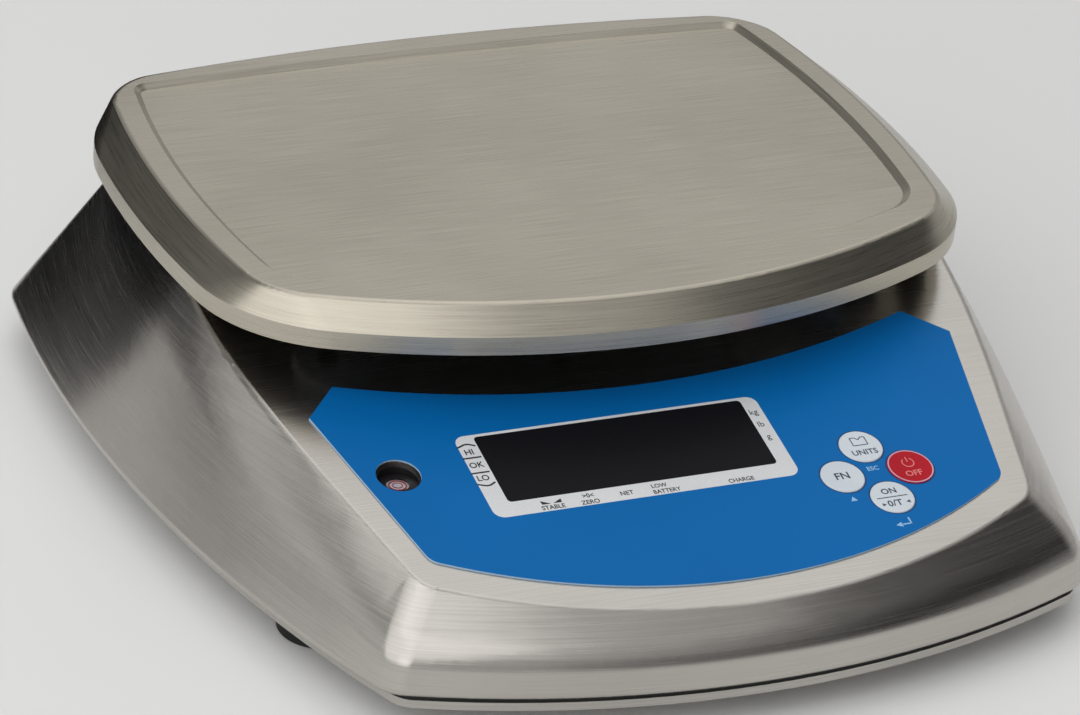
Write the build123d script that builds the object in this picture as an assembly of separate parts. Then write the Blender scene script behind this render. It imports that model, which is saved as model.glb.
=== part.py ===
"""Bench weighing scale for food: stainless platter on a load cell, sloped display panel, levelling feet."""

from build123d import *
import math
import os

# All sizes are millimetres.
# X runs to the right, Y from the front to the back and Z up from the floor.
# The origin is on the floor, at the middle of the housing.

# Heights
floor_gap = 8.6
base_thickness = 2.4
seal_thickness = 0.9
band_height = 9.95
deck_height = 59.9

# Housing cover, drawn from stainless sheet
cover_wall = 1.5
housing_length = 264.6
base_half_width = 131.6
base_widest_at = 46.8
base_side_radius = 430.0
base_front_radius = 258.0
base_back_radius = 590.0
base_front_corner = 12.0
base_back_corner = 14.0
deck_front = -84.3
deck_back = 122.8
deck_half_width = 109.7
deck_widest_at = 32.8
deck_side_radius = 149.6
deck_front_radius = 212.0
deck_back_radius = 480.0
deck_front_corner = 16.0
deck_back_corner = 14.0
crease_round = 4.0
panel_round = 2.5
flange_width = 24.0
mouth_corner = 14.0

# Sloped front panel
panel_tilt = 12.1
panel_front = -121.8
panel_front_height = 30.2

# Base plate and its seal
plate_side_inset = 3.2
plate_front_inset = 0.8
plate_back_inset = 6.0
plate_corner = 8.0
plate_rim_height = 5.0
plate_rim_wall = 2.0
plate_rim_gap = 0.6
seal_width = 22.8
seal_lead = 0.4
cover_screw_radius = 2.0
cover_screw_head_radius = 3.8
cover_screw_head_height = 2.2
cover_screw_length = 10.0
cover_nut_radius = 4.0
cover_nut_height = 4.0
cover_screw_inset = 6.5
hole_clearance = 0.25

# Front overlay, in the panel's own plane: u to the right, v up the slope
overlay_thickness = 0.5
overlay_half_width = 95.0
overlay_shoulder_v = 89.5
overlay_top_half_width = 84.6
overlay_top_v = 100.1
overlay_foot_half_width = 83.0
overlay_foot_v = 31.4
overlay_front_v = 8.2
overlay_dip_v = 85.2
overlay_corner = 5.0

# Display
window_width = 78.0
window_height = 25.7
window_u = -15.6
window_v = 61.05
lens_thickness = 2.0
lens_margin = 1.8
lens_clearance = 0.2
digit_count = 6
digit_width = 12.2
digit_pitch = 12.6
digit_height = 22.0
digit_depth = 8.0
digit_gap = 0.3
display_board_width = 84.0
display_board_height = 44.0
board_thickness = 1.6
standoff_radius = 2.8
standoff_inset = 4.5
board_screw_radius = 1.5
board_screw_head_radius = 2.75
board_screw_head_height = 1.6
board_screw_length = 6.0

# Keys
key_radius = 6.06
red_key_radius = 6.43
key_centre_u = 48.9
key_centre_v = 39.6
key_spread = 10.16
key_cap_thickness = 0.9
key_proud = 0.3
key_travel = 0.4
key_pocket_depth = 1.05
key_pocket_gap = 0.1
key_stem_radius = 2.0
key_stem_gap = 0.08
key_spacer_thickness = 1.3
key_board_size = 38.0
key_board_thickness = 1.2
dome_radius = 4.4
dome_height = 0.6
dome_gap = 0.05

# Bubble level, upright in the sloped panel
level_u = -79.55
level_v = 63.7
level_hole_radius = 6.05
level_wall = 1.6
level_depth = 11.0
level_sink = 2.6
vial_radius = 5.6
vial_height = 6.0
vial_crown = 0.7

# Platter, drawn from stainless sheet
sheet = 1.2
platter_height = 77.4
skirt_bottom = 65.55
lip_top = 70.8
field_depth = 1.4
field_slope = 2.0
rim_half_width = 106.7
rim_front = -39.7
rim_back = 120.4
rim_widest_at = 48.7
rim_side_radius = 323.0
rim_front_radius = 207.0
rim_back_radius = 665.0
rim_front_corner = 20.0
rim_back_corner = 16.0
rim_round = 2.0
skirt_flare_side = 8.7
skirt_flare_front = 7.6
skirt_flare_back = 7.1
skirt_front_corner = 44.0
skirt_back_corner = 48.0
field_half_width = 98.1
field_front = -26.0
field_back = 110.9
field_side_radius = 313.0
field_front_radius = 232.0
field_back_radius = 1400.0
field_front_corner = 15.0
field_back_corner = 3.0
hem_width = 3.0

# Load cell and what carries the platter
cell_centre_y = 40.4
cell_length = 130.0
cell_width = 30.0
cell_height = 22.0
cell_window_radius = 7.0
cell_window_pitch = 18.0
cell_bolt_pitch = 18.0
cell_bolt_inset = 9.0
cell_bolt_radius = 3.0
cell_seat_length = 34.0
cell_seat_height = 9.0
potting_length = 34.0
potting_thickness = 1.5
bolt_head_radius = 5.0
bolt_head_height = 5.0
post_radius = 15.0
post_gap = 1.6
deck_hole_radius = 21.0
spider_floor_gap = 1.2
spider_plate_thickness = 4.0
spider_hub_width = 46.0
spider_arm_width = 18.0
spider_rib_height = 4.6
spider_rib_width = 4.0
pad_spread_x = 78.0
pad_spread_y = 50.0
pad_radius = 7.0
pad_stem_radius = 3.0
pad_gap = 0.02
boot_thickness = 1.0
boot_clamp_radius = 27.0
clamp_ring_height = 1.0
stop_screw_radius = 3.0
stop_gap = 0.45
stop_nut_radius = 5.5
stop_nut_height = 3.2

# Boards, battery and socket
main_board_width = 72.0
main_board_length = 104.0
main_board_x = -58.0
main_board_y = 32.0
main_board_lift = 8.0
cell_connector = (-14.0, -44.0, 14.0, 6.0, 8.0)
ribbon_connector = (16.0, -44.0, 15.0, 6.0, 8.0)
power_connector = (8.0, 29.0, 16.0, 14.0, 8.0)
square_chips = (
    (4.0, -6.0, 14.0, 14.0, 1.6),
    (-14.0, 18.0, 10.0, 16.0, 2.4),
    (22.0, 14.0, 12.0, 12.0, 9.0),
    (27.0, -8.0, 6.0, 12.0, 7.0),
)
round_chips = ((-22.0, -26.0, 4.0, 12.0), (-10.0, -28.0, 3.15, 9.0), (14.0, -26.0, 6.0, 7.0))
battery_width = 60.0
battery_length = 134.0
battery_height = 34.0
battery_corner = 2.5
lid_height = 6.0
lid_groove_height = 0.8
lid_groove_depth = 1.0
battery_x = 60.0
battery_y = 24.0
terminal_width = 4.8
terminal_height = 6.0
terminal_thickness = 0.8
terminal_spread = 16.0
terminal_inset = 12.0
strap_width = 16.0
strap_thickness = 1.5
strap_foot = 9.0
strap_gap = 0.3
socket_x = 66.0
socket_z = 38.0
socket_bay_width = 36.0
socket_bay_height = 22.0
socket_bay_floor = 119.0
socket_bay_corner = 4.0
socket_radius = 5.6
socket_flange_radius = 7.6
socket_flange_thickness = 1.8
socket_depth = 14.0
socket_bore_radius = 2.8
socket_bore_depth = 10.0
socket_pin_radius = 1.0
socket_pin_sink = 1.0
socket_nut_radius = 8.0
socket_nut_thickness = 2.5
cap_radius = 8.6
cap_thickness = 2.4
cap_stem_radius = 2.7
cap_stem_bore = 1.5
cap_stem_length = 6.0
cap_tab_width = 6.0
cap_tab_reach = 3.5

# Feet
foot_inset = 16.6
foot_front_y = -58.6
foot_back_y = 94.0
foot_radius = 11.5
foot_pad_height = 4.2
foot_pad_round = 1.4
foot_boss_radius = 6.0
foot_boss_height = 0.8
foot_nut_radius = 5.5
foot_nut_height = 3.2
stud_radius = 3.0
stud_length = 24.0
thread_gap = 0.05
insert_radius = 6.2
insert_shank_radius = 4.5
insert_height = 6.0
seat_gap = 0.1

# Inner cables
cable_radius = 1.5
cable_bend = 9.0
cable_exit_x = 6.0
cable_run = 20.4
lead_radius = 1.1
lead_bend = 5.0
lead_places = ((30.0, 58.0), (60.0, 64.0))
ribbon_width = 12.0
ribbon_thickness = 0.8
ribbon_bend = 3.0
ribbon_rise = 6.0

# Levels that follow from the sizes above
plate_top = floor_gap + base_thickness
cover_bottom = plate_top + seal_thickness
crease_height = cover_bottom + band_height
housing_front = -housing_length / 2
housing_back = housing_length / 2
panel = Plane(
    origin=(0, panel_front, panel_front_height),
    x_dir=(1, 0, 0),
    z_dir=(0, -math.sin(math.radians(panel_tilt)), math.cos(math.radians(panel_tilt))),
)
cell_bottom = plate_top + cell_seat_height
cell_top = cell_bottom + cell_height
cell_front = cell_centre_y - cell_length / 2
cell_back = cell_centre_y + cell_length / 2
post_y = cell_back - cell_seat_length / 2
seat_y = cell_front + cell_seat_length / 2
field_level = platter_height - field_depth
field_underside = field_level - sheet
spider_bottom = deck_height + spider_floor_gap
spider_top = spider_bottom + spider_plate_thickness
key_places = {
    "key_units": (key_centre_u, key_centre_v + key_spread, key_radius),
    "key_function": (key_centre_u - key_spread, key_centre_v, key_radius),
    "key_zero": (key_centre_u, key_centre_v - key_spread, key_radius),
    "key_off": (key_centre_u + key_spread, key_centre_v, red_key_radius),
}
foot_corners = {
    "front_left": (-1, foot_front_y),
    "front_right": (1, foot_front_y),
    "back_left": (-1, foot_back_y),
    "back_right": (1, foot_back_y),
}


def barrel(half_width, front, back, widest_at, radii, corners, inset=0.0):
    """Plan outline with four bowed sides and rounded corners."""
    side_radius, front_radius, back_radius = [radius - inset for radius in radii]
    front_corner, back_corner = [max(corner - inset, 0.4) for corner in corners]
    half = half_width - inset
    right = Pos(half - side_radius, widest_at) * Circle(side_radius)
    left = Pos(side_radius - half, widest_at) * Circle(side_radius)
    near = Pos(0, front + inset + front_radius) * Circle(front_radius)
    far = Pos(0, back - inset - back_radius) * Circle(back_radius)
    outline = right & left & near & far
    middle = (front + back) / 2
    near_points = [point for point in outline.vertices() if point.Y < middle]
    outline = fillet(near_points, front_corner)
    far_points = [point for point in outline.vertices() if point.Y > middle]
    return fillet([point for point in far_points if is_corner(point, outline)], back_corner)


def is_corner(point, outline):
    """True where two edges of an outline meet at an angle."""
    edges = [edge for edge in outline.edges() if min(v.distance(point) for v in edge.vertices()) < 1e-4]
    directions = [edge.tangent_at(edge.param_at_point(point.center())) for edge in edges]
    return len(directions) == 2 and abs(directions[0].dot(directions[1])) < 0.995


def at_height(outline, height):
    """Lift a plan outline to a height."""
    return Pos(0, 0, height) * outline


def tube(outer, inner, height):
    """Round ring with its bottom at zero."""
    ring = Circle(outer) - Circle(inner)
    return extrude(ring, height)


def rod(radius, height):
    """Round bar with its bottom at zero."""
    return extrude(Circle(radius), height)


def hexagon(radius, height):
    """Hexagonal bar with its bottom at zero; the radius is to the corners."""
    return extrude(RegularPolygon(radius, 6), height)


def block(width, length, height, corner=0.0):
    """Upright block with its bottom at zero."""
    plan = Rectangle(width, length) if corner == 0 else RectangleRounded(width, length, corner)
    return extrude(plan, height)


def on_panel(shape, u, v, w=0.0):
    """Place a shape on the sloped panel."""
    return panel * Pos(u, v, w) * shape


def base_outline(inset=0.0):
    """Outline of the housing where its band starts."""
    radii = (base_side_radius, base_front_radius, base_back_radius)
    corners = (base_front_corner, base_back_corner)
    return barrel(base_half_width, housing_front, housing_back, base_widest_at, radii, corners, inset)


def deck_outline(inset=0.0):
    """Outline of the housing at the level of its deck."""
    radii = (deck_side_radius, deck_front_radius, deck_back_radius)
    corners = (deck_front_corner, deck_back_corner)
    return barrel(deck_half_width, deck_front, deck_back, deck_widest_at, radii, corners, inset)


def panel_half_space(depth):
    """Everything above the panel's plane, lowered by a depth."""
    return on_panel(block(400, 500, 200), 0, 0, -depth)


def housing_form(inset):
    """Outer form of the housing, or its hollow when an inset is given."""
    top = deck_height - inset
    floor = cover_bottom + inset
    band = extrude(at_height(base_outline(inset), floor), crease_height - floor)
    base_face = at_height(base_outline(inset), crease_height).face()
    deck_face = at_height(deck_outline(inset * 1.4), top).face()
    upper = loft([base_face, deck_face], ruled=True)
    return band + upper - panel_half_space(inset)


def socket_bay(wall):
    """Space of the flat-floored bay for the charger socket in the back wall."""
    width = socket_bay_width + 2 * wall
    height = socket_bay_height + 2 * wall
    depth = housing_back - socket_bay_floor + wall + 10
    plan = RectangleRounded(width, height, socket_bay_corner)
    bay = extrude(Plane.XZ * plan, -depth)
    return Pos(socket_x, socket_bay_floor - wall, socket_z) * bay


def plate_outline(inset=0.0, corner=plate_corner):
    """Outline of the base plate; it stands further in at the sides than at the front."""
    radii = (base_side_radius, base_front_radius, base_back_radius)
    half = base_half_width - plate_side_inset
    front = housing_front + plate_front_inset
    back = housing_back - plate_back_inset
    return barrel(half, front, back, base_widest_at, radii, (corner, corner), inset)


def mouth_outline(inset=0.0):
    """Outline of the opening inside the cover's flange, or of what stands further in."""
    return plate_outline(flange_width + inset, mouth_corner + flange_width)


def cover_screw_places():
    """Places of the screws that hold the base plate to the cover's flange."""
    line = plate_outline(seal_lead + cover_screw_inset)
    left_right = [(x, y) for y in (-100.0, 20.0, 110.0) for x in (-1, 1)]
    side = [(sign * side_reach(line, y), y) for sign, y in left_right]
    ends = [(0.0, line.bounding_box().min.Y), (0.0, line.bounding_box().max.Y)]
    return side + ends


def side_reach(outline, y):
    """Half the width of an outline at one depth."""
    strip = outline & (Pos(0, y) * Rectangle(400, 0.02))
    return strip.bounding_box().max.X


def foot_places():
    """Centre of each foot, at one distance inside the base plate's sides."""
    line = plate_outline(foot_inset)
    return {name: (sign * side_reach(line, y), y) for name, (sign, y) in foot_corners.items()}


def make_housing_cover():
    """Drawn cover with its flange turned in at the bottom and its panel and deck openings."""
    body = housing_form(0)
    crease = body.edges().filter_by(lambda edge: is_crease(edge))
    body = fillet(crease, crease_round)
    rim = body.edges().filter_by(lambda edge: is_panel_edge(edge))
    body = fillet(rim, panel_round)
    hollow = housing_form(cover_wall) - socket_bay(cover_wall)
    mouth = extrude(at_height(mouth_outline(), cover_bottom), cover_wall)
    body = body - hollow - mouth - socket_bay(0)
    body -= Pos(0, post_y, deck_height - cover_wall) * rod(deck_hole_radius, cover_wall)
    room = 2 * lens_clearance
    lens_opening = block(lens_width() + room, lens_height() + room, 3 * cover_wall)
    body -= on_panel(lens_opening, window_u, window_v, -2 * cover_wall)
    for u, v, radius in key_places.values():
        body -= on_panel(rod(radius + key_pocket_gap, key_pocket_depth), u, v, -key_pocket_depth)
        body -= on_panel(rod(key_stem_radius + key_stem_gap, 2 * cover_wall), u, v, -2 * cover_wall)
    body -= on_panel(rod(level_hole_radius, 4 * cover_wall), level_u, level_v, -3 * cover_wall)
    hole = Plane.XZ * Circle(socket_radius + thread_gap)
    body -= Pos(socket_x, socket_bay_floor - cover_wall, socket_z) * extrude(hole, -cover_wall)
    for x, y in cover_screw_places():
        body -= Pos(x, y, cover_bottom) * rod(cover_screw_radius + hole_clearance, cover_wall)
    for x, y in foot_places().values():
        body -= Pos(x, y, cover_bottom) * rod(insert_shank_radius, cover_wall)
    return body


def is_crease(edge):
    """True for the edges where the sloped walls meet the upright band."""
    box = edge.bounding_box()
    return abs(box.min.Z - crease_height) < 1e-3 and abs(box.max.Z - crease_height) < 1e-3


def is_panel_edge(edge):
    """True for the edges around the sloped panel, except where it meets the deck."""
    ends = [panel.to_local_coords(edge @ share) for share in (0, 0.5, 1)]
    flat = all(abs(point.Z) < 1e-3 for point in ends)
    return flat and edge.bounding_box().size.Z > 1e-3


def lens_width():
    """Width of the display lens."""
    return window_width + 2 * lens_margin


def lens_height():
    """Height of the display lens."""
    return window_height + 2 * lens_margin


def make_base_plate():
    """Flat base plate with an upstanding rim and holes for the screws, feet and load cell bolts."""
    plate = extrude(at_height(plate_outline(), floor_gap), base_thickness)
    rim = mouth_outline(plate_rim_gap) - mouth_outline(plate_rim_gap + plate_rim_wall)
    plate += extrude(at_height(rim, plate_top), plate_rim_height)
    for x, y in cover_screw_places():
        plate -= Pos(x, y, floor_gap) * rod(cover_screw_radius + hole_clearance, base_thickness)
    for x, y in foot_places().values():
        plate -= Pos(x, y, floor_gap) * rod(insert_shank_radius, base_thickness)
    for y in cell_bolt_lines(seat_y):
        plate -= Pos(0, y, floor_gap) * rod(cell_bolt_radius + hole_clearance, base_thickness)
    plate -= Pos(0, post_y, floor_gap) * rod(stop_screw_radius + thread_gap, base_thickness)
    return plate


def make_base_seal():
    """Soft gasket squeezed between the cover's flange and the base plate."""
    ring = plate_outline(seal_lead) - plate_outline(seal_lead + seal_width)
    seal = extrude(at_height(ring, plate_top), seal_thickness)
    for x, y in cover_screw_places():
        seal -= Pos(x, y, plate_top) * rod(cover_screw_radius + hole_clearance, seal_thickness)
    for x, y in foot_places().values():
        seal -= Pos(x, y, plate_top) * rod(insert_shank_radius, seal_thickness)
    return seal


def screw(radius, length, head_radius, head_height):
    """Screw with its head's seat at zero and its shank up along Z."""
    head = Pos(0, 0, -head_height) * rod(head_radius, head_height)
    socket = Pos(0, 0, -head_height) * hexagon(head_radius * 0.5, head_height * 0.5)
    return rod(radius, length) + head - socket


def make_cover_screws():
    """Screws that pull the base plate up against the cover's flange."""
    one = screw(cover_screw_radius, cover_screw_length, cover_screw_head_radius, cover_screw_head_height)
    return [Pos(x, y, floor_gap) * one for x, y in cover_screw_places()]


def make_cover_nuts():
    """Weld nuts on the cover's flange."""
    one = hexagon(cover_nut_radius, cover_nut_height) - rod(cover_screw_radius, cover_nut_height)
    return [Pos(x, y, cover_bottom + cover_wall) * one for x, y in cover_screw_places()]


def overlay_face(extra=0.0):
    """Outline of the front overlay, with bowed long edges and cut upper corners."""
    half = overlay_half_width + extra
    foot = (overlay_foot_half_width + extra, overlay_foot_v - extra / 2)
    shoulder = (half, overlay_shoulder_v)
    top = (overlay_top_half_width + extra / 2, overlay_top_v + extra)
    right = Polyline(foot, shoulder, top)
    left = Polyline((-top[0], top[1]), (-shoulder[0], shoulder[1]), (-foot[0], foot[1]))
    dip = ThreePointArc(top, (0, overlay_dip_v + extra), (-top[0], top[1]))
    front = ThreePointArc((-foot[0], foot[1]), (0, overlay_front_v - extra), foot)
    face = make_face([right, dip, left, front])
    lower = [point for point in face.vertices() if point.Y < overlay_shoulder_v - 1]
    return fillet(lower, overlay_corner)


def make_overlay():
    """Printed polyester overlay with its window, key and level openings."""
    sheet_form = extrude(overlay_face(), overlay_thickness)
    sheet_form -= Pos(window_u, window_v) * block(window_width, window_height, overlay_thickness)
    for u, v, radius in key_places.values():
        sheet_form -= Pos(u, v) * rod(radius + key_pocket_gap, overlay_thickness)
    sheet_form -= Pos(level_u, level_v) * rod(level_hole_radius, overlay_thickness)
    return panel * sheet_form


def make_display_lens():
    """Smoked window in front of the digits, flush with the panel."""
    lens = block(lens_width(), lens_height(), lens_thickness, 0)
    return on_panel(lens, window_u, window_v, -lens_thickness)


def make_display_digits():
    """Seven-segment modules in a row behind the window."""
    first = window_u - digit_pitch * (digit_count - 1) / 2
    top = -lens_thickness - digit_gap
    one = block(digit_width, digit_height, digit_depth)
    places = [first + digit_pitch * index for index in range(digit_count)]
    return [on_panel(one, u, window_v, top - digit_depth) for u in places]


def display_board_top():
    """Level of the display board's front face, measured from the panel."""
    return -lens_thickness - digit_gap - digit_depth


def display_post_places():
    """Corners of the display board where it is screwed to its standoffs."""
    reach_u = display_board_width / 2 - standoff_inset
    reach_v = display_board_height / 2 - standoff_inset
    return [(window_u + a * reach_u, window_v + b * reach_v) for a in (-1, 1) for b in (-1, 1)]


def make_display_board():
    """Circuit board that carries the digit modules."""
    board = block(display_board_width, display_board_height, board_thickness, 2)
    board = on_panel(board, window_u, window_v, display_board_top() - board_thickness)
    for u, v in display_post_places():
        board -= on_panel(rod(board_screw_radius + 0.1, 4), u, v, display_board_top() - 3)
    return board


def make_display_standoffs():
    """Threaded studs welded behind the panel."""
    length = -cover_wall - display_board_top()
    one = tube(standoff_radius, board_screw_radius, length)
    return [on_panel(one, u, v, display_board_top()) for u, v in display_post_places()]


def make_display_screws():
    """Screws that hold the display board to its standoffs."""
    one = screw(board_screw_radius, board_screw_length, board_screw_head_radius, board_screw_head_height)
    seat = display_board_top() - board_thickness
    return [on_panel(one, u, v, seat) for u, v in display_post_places()]


def make_key(u, v, radius):
    """Round key cap with a stem that reaches through the panel to its snap dome."""
    cap = Pos(0, 0, overlay_thickness + key_proud - key_cap_thickness) * rod(radius, key_cap_thickness)
    cap = fillet(cap.edges().sort_by(Axis.Z)[-1], key_proud)
    stem_bottom = key_spacer_bottom() + dome_height + key_travel + dome_gap
    stem = Pos(0, 0, stem_bottom) * rod(key_stem_radius, -stem_bottom)
    return on_panel(cap + stem, u, v)


def key_spacer_bottom():
    """Level of the keypad board's front face, measured from the panel."""
    return -cover_wall - key_spacer_thickness


def make_keypad_spacer():
    """Adhesive spacer that holds the keypad board behind the panel."""
    spacer = block(key_board_size, key_board_size, key_spacer_thickness, 2)
    for u, v, _ in key_places.values():
        spacer -= Pos(u - key_centre_u, v - key_centre_v) * rod(dome_radius + 0.4, key_spacer_thickness)
    return on_panel(spacer, key_centre_u, key_centre_v, key_spacer_bottom())


def make_keypad_board():
    """Keypad circuit board."""
    board = block(key_board_size, key_board_size, key_board_thickness, 2)
    return on_panel(board, key_centre_u, key_centre_v, key_spacer_bottom() - key_board_thickness)


def make_key_domes():
    """Snap domes under the keys."""
    rise = dome_height
    ball = (dome_radius**2 + rise**2) / (2 * rise)
    dome = Pos(0, 0, rise - ball) * Sphere(ball) & block(2 * dome_radius, 2 * dome_radius, rise)
    return [on_panel(dome, u, v, key_spacer_bottom()) for u, v, _ in key_places.values()]


def level_point():
    """Point where the level's upright axis meets the panel."""
    return panel.from_local_coords(Vector(level_u, level_v, 0))


def make_level_holder():
    """Cup behind the panel that holds the level upright."""
    centre = level_point()
    outer = rod(level_cup_radius() + level_wall, 2 * level_depth)
    outer = Pos(centre.X, centre.Y, centre.Z - level_depth) * outer
    outer -= panel_half_space(cover_wall)
    bore = Pos(centre.X, centre.Y, vial_floor()) * rod(level_cup_radius(), 2 * level_depth)
    return outer - bore


def level_cup_radius():
    """Inside radius of the level's cup."""
    return vial_radius + seat_gap


def vial_floor():
    """Height of the seat that the vial stands on."""
    return level_point().Z - level_sink - vial_height


def make_level_vial():
    """Round spirit level: a puck with a crowned lens top."""
    centre = level_point()
    body = rod(vial_radius, vial_height)
    ball = (vial_radius**2 + vial_crown**2) / (2 * vial_crown)
    body = body & Pos(0, 0, vial_height - ball) * Sphere(ball)
    return Pos(centre.X, centre.Y, vial_floor()) * body


def rim_outline(inset=0.0):
    """Outline of the platter's flat rim."""
    radii = (rim_side_radius, rim_front_radius, rim_back_radius)
    corners = (rim_front_corner, rim_back_corner)
    return barrel(rim_half_width, rim_front, rim_back, rim_widest_at, radii, corners, inset)


def skirt_outline(inset=0.0):
    """Outline of the platter's lip."""
    radii = (rim_side_radius, rim_front_radius, rim_back_radius)
    half = rim_half_width + skirt_flare_side
    front = rim_front - skirt_flare_front
    back = rim_back + skirt_flare_back
    corners = (skirt_front_corner, skirt_back_corner)
    return barrel(half, front, back, rim_widest_at, radii, corners, inset)


def field_outline(inset=0.0):
    """Outline of the shallow field in the platter's top."""
    radii = (field_side_radius, field_front_radius, field_back_radius)
    corners = (field_front_corner, field_back_corner)
    return barrel(field_half_width, field_front, field_back, rim_widest_at, radii, corners, inset)


def platter_form(inset):
    """Outer form of the platter, or its hollow when an inset is given."""
    lip = extrude(at_height(skirt_outline(inset), skirt_bottom), lip_top - skirt_bottom)
    lip_face = at_height(skirt_outline(inset), lip_top).face()
    rim_face = at_height(rim_outline(inset), platter_height - inset).face()
    return lip + loft([lip_face, rim_face], ruled=True)


def make_platter():
    """Drawn platter: flat rim, shallow field with a sloped step, flared skirt and turned-in hem."""
    body = platter_form(0)
    rim = body.edges().group_by(Axis.Z)[-1]
    body = fillet(rim, rim_round)
    field_face = at_height(field_outline(), field_level).face()
    step_face = at_height(field_outline(-field_slope), platter_height).face()
    body -= loft([field_face, step_face], ruled=True)
    drop = extrude(at_height(field_outline(-field_slope - sheet), field_underside), field_depth + sheet)
    body -= platter_form(sheet) - drop
    hem = skirt_outline(sheet / 2) - skirt_outline(sheet / 2 + hem_width)
    return body + extrude(at_height(hem, skirt_bottom), sheet)


def cell_bolt_lines(centre):
    """Places along the load cell of the two bolts at one end."""
    return [centre - cell_bolt_pitch / 2, centre + cell_bolt_pitch / 2]


def make_load_cell():
    """Single-point load cell: a bar with a double-bored window that makes its thin flexures."""
    bar = Pos(0, cell_centre_y, cell_bottom) * block(cell_width, cell_length, cell_height)
    middle = cell_bottom + cell_height / 2
    bore = extrude(Plane.YZ * Circle(cell_window_radius), cell_width)
    for side in (-1, 1):
        y = cell_centre_y + side * cell_window_pitch / 2
        bar -= Pos(-cell_width / 2, y, middle) * bore
    slot = block(cell_width, cell_window_pitch, cell_window_radius)
    bar -= Pos(0, cell_centre_y, middle - cell_window_radius / 2) * slot
    for y in cell_bolt_lines(seat_y) + cell_bolt_lines(post_y):
        bar -= Pos(0, y, cell_bottom) * rod(cell_bolt_radius + thread_gap, cell_height)
    return bar


def make_gauge_potting():
    """Sealing compound over the strain gauges on top of the flexures."""
    return Pos(0, cell_centre_y, cell_top) * block(cell_width - 4, potting_length, potting_thickness, 2)


def make_cell_seat():
    """Block that lifts the fixed end of the load cell off the base plate."""
    seat = Pos(0, seat_y, plate_top) * block(cell_width, cell_seat_length, cell_seat_height)
    for y in cell_bolt_lines(seat_y):
        seat -= Pos(0, y, plate_top) * rod(cell_bolt_radius + hole_clearance, cell_seat_height)
    return seat


def make_cell_bolts():
    """Bolts up through the base plate and the seat into the fixed end."""
    length = base_thickness + cell_seat_height + cell_height / 2
    one = screw(cell_bolt_radius, length, bolt_head_radius, bolt_head_height)
    return [Pos(0, y, floor_gap) * one for y in cell_bolt_lines(seat_y)]


def make_load_post():
    """Post on the live end of the load cell that carries the pan support through the deck."""
    post = Pos(0, post_y, cell_top) * rod(post_radius, spider_bottom - cell_top)
    for y in cell_bolt_lines(post_y):
        post -= Pos(0, y, cell_top) * rod(cell_bolt_radius + hole_clearance, spider_bottom - cell_top)
    return post


def make_post_bolts():
    """Bolts down through the pan support and the post into the live end."""
    length = spider_top - cell_top + cell_height / 2
    one = Rot(180, 0, 0) * screw(cell_bolt_radius, length, bolt_head_radius, bolt_head_height)
    return [Pos(0, y, spider_top) * one for y in cell_bolt_lines(post_y)]


def pad_places():
    """Places of the rubber pads under the platter."""
    centre = (field_front + field_back) / 2
    return [(a * pad_spread_x, centre + b * pad_spread_y) for a in (-1, 1) for b in (-1, 1)]


def make_pan_support():
    """Cast cross that spreads the platter's load to the post, with a rib on each arm."""
    centre = (field_front + field_back) / 2
    hub_back = post_y + post_radius + 4
    hub = Pos(0, (centre + hub_back) / 2) * Rectangle(spider_hub_width, hub_back - centre + 24)
    plan = Sketch() + hub
    ribs = Sketch()
    for x, y in pad_places():
        arm = SlotCenterToCenter(math.hypot(x, y - centre), spider_arm_width)
        angle = math.degrees(math.atan2(y - centre, x))
        plan += Pos(x / 2, (y + centre) / 2) * Rot(0, 0, angle) * arm
        rib_length = math.hypot(x, y - centre) - pad_radius - spider_arm_width / 2
        rib = Rectangle(rib_length, spider_rib_width)
        ribs += Pos(x / 2, (y + centre) / 2) * Rot(0, 0, angle) * rib
    support = extrude(at_height(plan, spider_bottom), spider_plate_thickness)
    support += extrude(at_height(ribs, spider_top), spider_rib_height)
    for y in cell_bolt_lines(post_y):
        support -= Pos(0, y, spider_bottom) * rod(cell_bolt_radius + hole_clearance, 20)
        support -= Pos(0, y, spider_top) * rod(bolt_head_radius + hole_clearance, 20)
    for x, y in pad_places():
        support -= Pos(x, y, spider_bottom) * rod(pad_stem_radius, spider_plate_thickness)
    return support


def make_pan_pads():
    """Rubber pads pushed into the pan support's arms."""
    body = rod(pad_radius, field_underside - pad_gap - spider_top)
    body = fillet(body.edges().sort_by(Axis.Z)[-1], 1.2)
    stem = Pos(0, 0, -spider_plate_thickness) * rod(pad_stem_radius, spider_plate_thickness)
    return [Pos(x, y, spider_top) * (body + stem) for x, y in pad_places()]


def make_post_boot():
    """Thin rubber diaphragm that seals the post in the deck's hole."""
    ring = tube(boot_clamp_radius, post_radius + seat_gap, boot_thickness)
    return Pos(0, post_y, boot_level()) * ring


def boot_level():
    """Height of the diaphragm's underside, against the inside of the deck."""
    return deck_height - cover_wall - boot_thickness


def make_boot_clamp():
    """Ring that clamps the diaphragm to the inside of the deck."""
    ring = tube(boot_clamp_radius, deck_hole_radius, clamp_ring_height)
    return Pos(0, post_y, boot_level() - clamp_ring_height) * ring


def make_overload_stop():
    """Set screw under the live end that takes an overload."""
    length = cell_bottom - stop_gap - floor_gap
    stop = rod(stop_screw_radius, length)
    stop -= hexagon(stop_screw_radius * 0.5, 2)
    return Pos(0, post_y, floor_gap) * stop


def make_stop_nut():
    """Lock nut of the overload stop."""
    nut = hexagon(stop_nut_radius, stop_nut_height) - rod(stop_screw_radius + thread_gap, stop_nut_height)
    return Pos(0, post_y, plate_top) * nut


def main_board_posts():
    """Corners of the main board."""
    reach_x = main_board_width / 2 - standoff_inset
    reach_y = main_board_length / 2 - standoff_inset
    return [(main_board_x + a * reach_x, main_board_y + b * reach_y) for a in (-1, 1) for b in (-1, 1)]


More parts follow.
